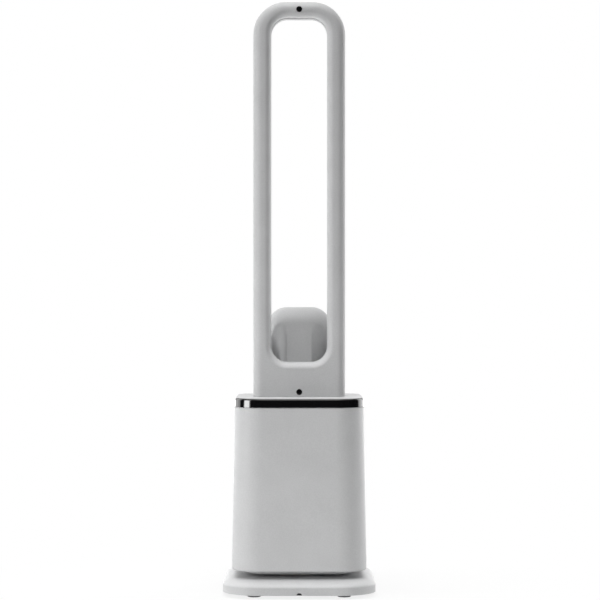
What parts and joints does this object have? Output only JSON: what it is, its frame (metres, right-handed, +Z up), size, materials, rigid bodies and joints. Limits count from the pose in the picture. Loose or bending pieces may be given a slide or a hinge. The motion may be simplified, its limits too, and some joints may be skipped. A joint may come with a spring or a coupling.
{
  "type": "bladeless fan",
  "caption": "Tall bladeless fan: a hollow loop with an inner air slot on a rounded-square body that swings on a domed stand, with a removable rear filter cover.",
  "frame": {"origin": "on the ground under the middle of the stand", "axes": "+Z up along the swing axis, -Y towards the front that the air leaves from, +X to the right seen from the front"},
  "size_m": [0.256, 0.256, 1],
  "materials": {
    "shell": "fine-grained matt light grey moulding",
    "inner": "plain moulded grey",
    "dark": "moulded near-black",
    "gloss": "polished black",
    "rubber": "soft grey rubber",
    "steel": "bright zinc-plated",
    "acetal": "natural white bearing plastic",
    "board": "green circuit board",
    "paper": "pleated filter paper",
    "copper": "varnished winding and lamination"
  },
  "bodies": {
    "stand": {"stand_cover": "shell", "stand_base": "dark", "ballast_plate": "steel", "foot_front_left": "rubber", "foot_front_right": "rubber", "foot_rear_left": "rubber", "foot_rear_right": "rubber", "base_screw_front_left": "steel", "base_screw_front_right": "steel", "base_screw_rear_left": "steel", "base_screw_rear_right": "steel", "pivot_hub": "acetal", "hub_screw_1": "steel", "hub_screw_2": "steel", "hub_screw_3": "steel", "fixed_swing_gear": "acetal", "hub_clip": "steel", "bearing_ring": "acetal", "power_inlet": "dark"},
    "tower": {"bottom_chassis": "shell", "thrust_washer": "acetal", "swing_motor": "steel", "body_shell": "shell", "top_cap": "shell", "display_band": "gloss", "power_board": "board", "display_board": "board", "loop_front_shell": "shell", "loop_rear_shell": "shell", "foot_gasket": "rubber", "rear_hump": "shell", "top_sensor_window": "gloss", "receiver_window": "gloss", "loop_screw_left": "steel", "loop_screw_right": "steel", "hump_screw_left": "steel", "hump_screw_right": "steel", "fan_housing": "inner", "diffuser": "inner", "throat_duct": "inner", "motor_cap": "inner", "motor_stator": "copper", "motor_bearing": "steel", "isolator_front_left": "rubber", "isolator_front_right": "rubber", "isolator_rear_left": "rubber", "isolator_rear_right": "rubber"},
    "impeller": {"impeller": "dark", "motor_shaft": "steel", "motor_rotor": "steel"},
    "swing_pinion": {"swing_pinion": "acetal"},
    "rear_cover": {"rear_cover": "shell", "filter_frame": "inner", "filter_pleats": "paper"}
  },
  "joints": [
    {"name": "swing", "type": "hinge", "parent": "stand", "child": "tower", "pos_m": [0, 0, 0.032], "axis": [0, 0, 1], "range_deg": [-40, 40]},
    {"name": "pinion_spin", "type": "hinge", "parent": "tower", "child": "swing_pinion", "pos_m": [0, -0.036, 0.04], "axis": [0, 0, 1], "range_deg": [-120, 120]},
    {"name": "impeller_spin", "type": "hinge", "parent": "tower", "child": "impeller", "pos_m": [0, 0, 0.12], "axis": [0, 0, 1], "continuous": true},
    {"name": "rear_cover_slide", "type": "slide", "parent": "tower", "child": "rear_cover", "axis": [0, 1, 0], "range_m": [0, 0.06]}
  ],
  "couplings": [
    {"joint": "pinion_spin", "follows": "swing", "ratio": 3}
  ]
}
